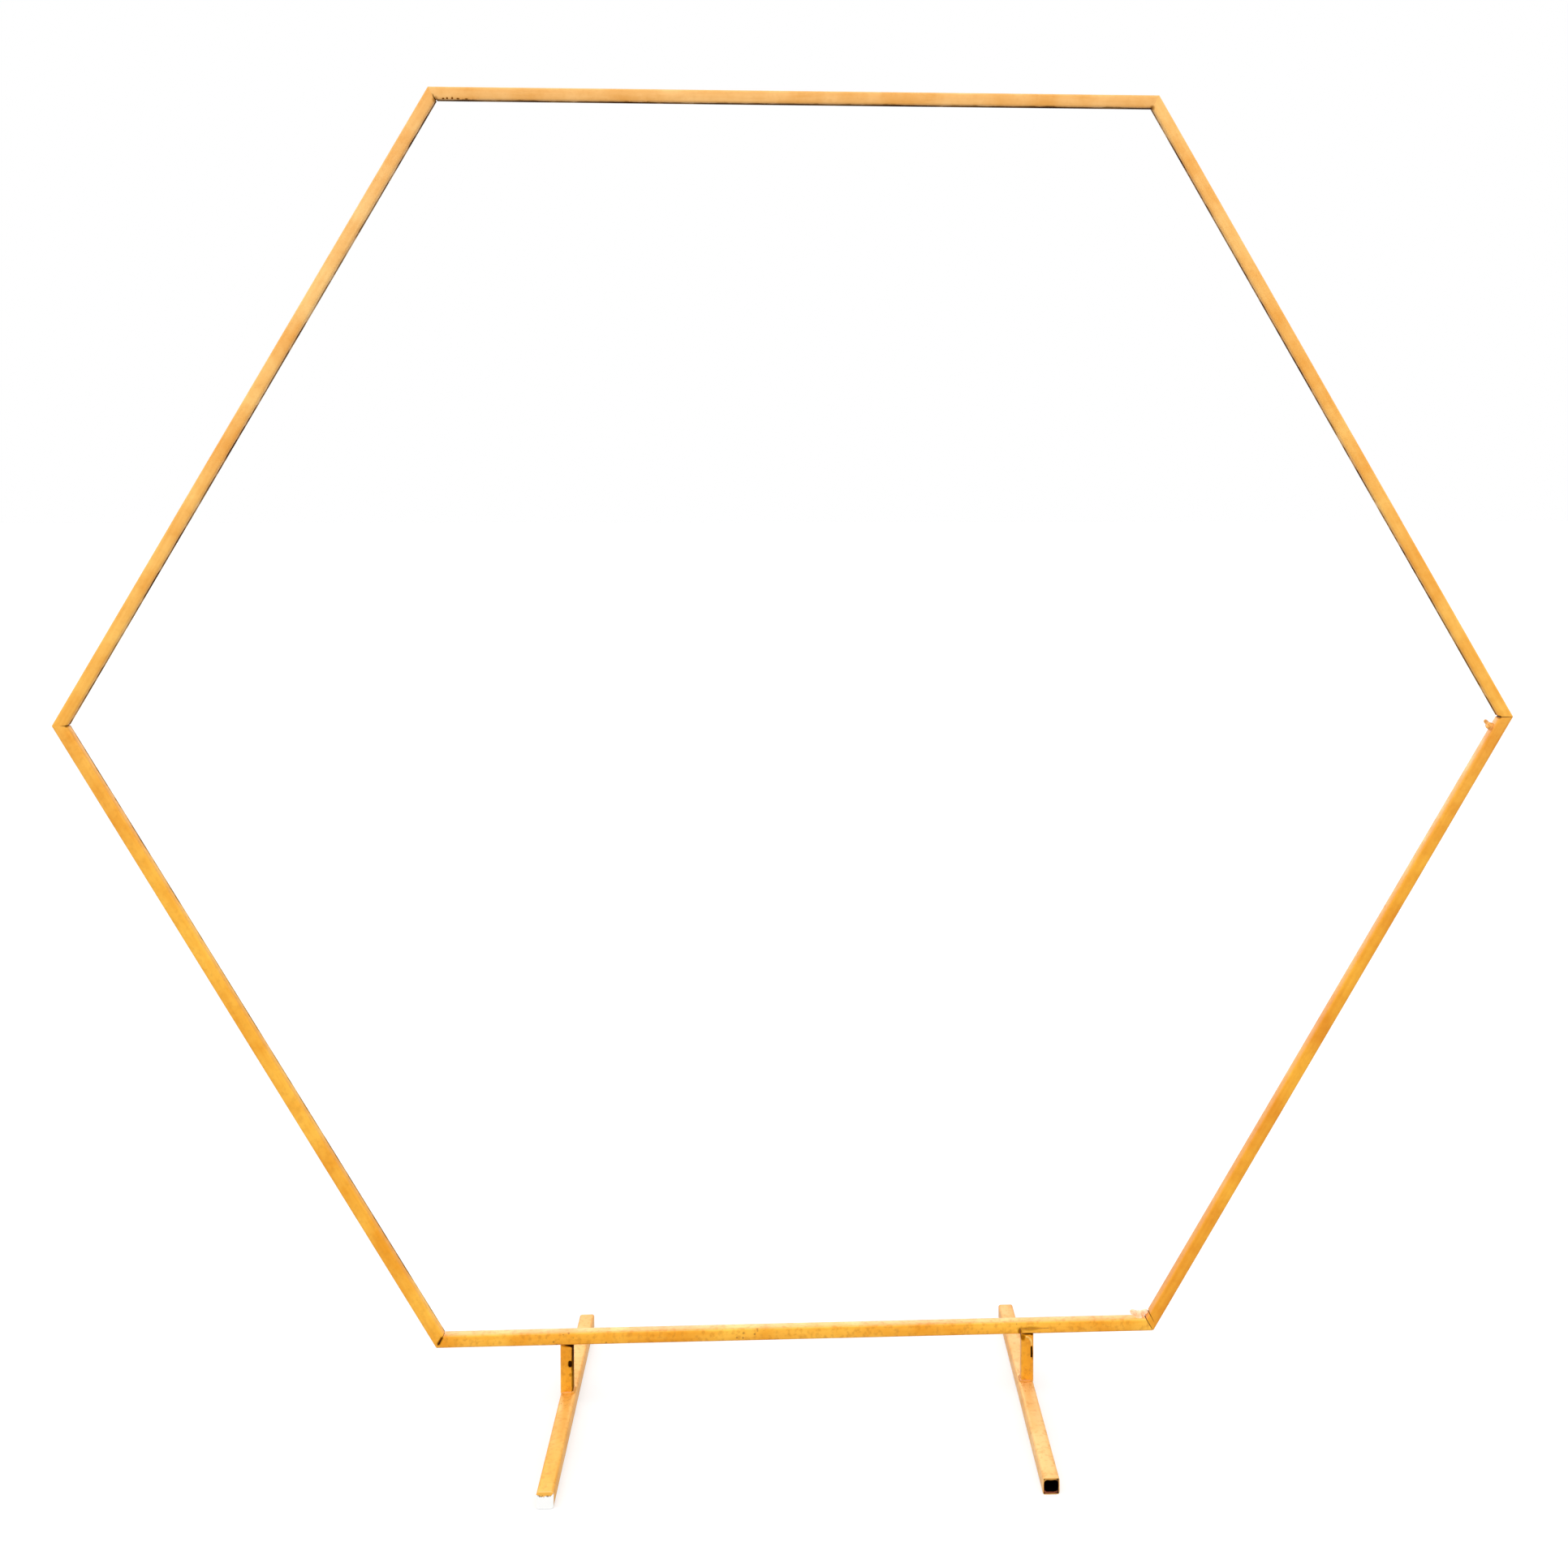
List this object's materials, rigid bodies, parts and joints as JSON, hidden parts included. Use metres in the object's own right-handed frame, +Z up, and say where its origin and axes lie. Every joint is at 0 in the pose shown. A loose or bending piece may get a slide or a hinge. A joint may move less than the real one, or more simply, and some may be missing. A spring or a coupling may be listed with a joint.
{
  "type": "hexagonal wedding arch",
  "caption": "Free-standing hexagonal wedding arch of gold-painted square steel tube, carried by short risers on separate feet that lie on the floor from front to back.",
  "frame": {"origin": "on the floor, midway between the two feet and halfway along them", "axes": "+Z up, +X to the right seen from the front, +Y to the back; the hexagon stands in a plane across X, 15 mm behind the origin"},
  "size_m": [2.3299, 0.6, 2.103],
  "materials": {
    "gold_paint": "gold paint sprayed over steel tube, satin, slightly mottled",
    "gold_paint_foot": "gold paint sprayed over steel tube, satin, slightly mottled",
    "weld": "gold paint over a rough weld bead",
    "dark_steel": "bare mill-scaled steel, dark brown",
    "plug": "moulded end plug sprayed with the frame",
    "wing_screw": "cast wing screw sprayed with the frame, pale where the paint is thin"
  },
  "bodies": {
    "root": {"top_bar": "gold_paint", "upper_left_bar": "gold_paint", "upper_right_bar": "gold_paint", "lower_left_bar": "gold_paint", "lower_right_bar": "gold_paint", "bottom_bar": "gold_paint", "lower_right_collar": "gold_paint", "lower_left_elbow": "dark_steel", "lower_right_elbow": "dark_steel", "right_elbow": "dark_steel", "lower_right_wing_screw": "wing_screw", "right_wing_screw": "wing_screw", "left_riser": "gold_paint", "right_riser": "gold_paint", "left_riser_weld": "weld", "right_riser_weld": "weld", "left_foot": "gold_paint_foot", "right_foot": "gold_paint_foot", "left_foot_plug": "plug"}
  },
  "joints": []
}
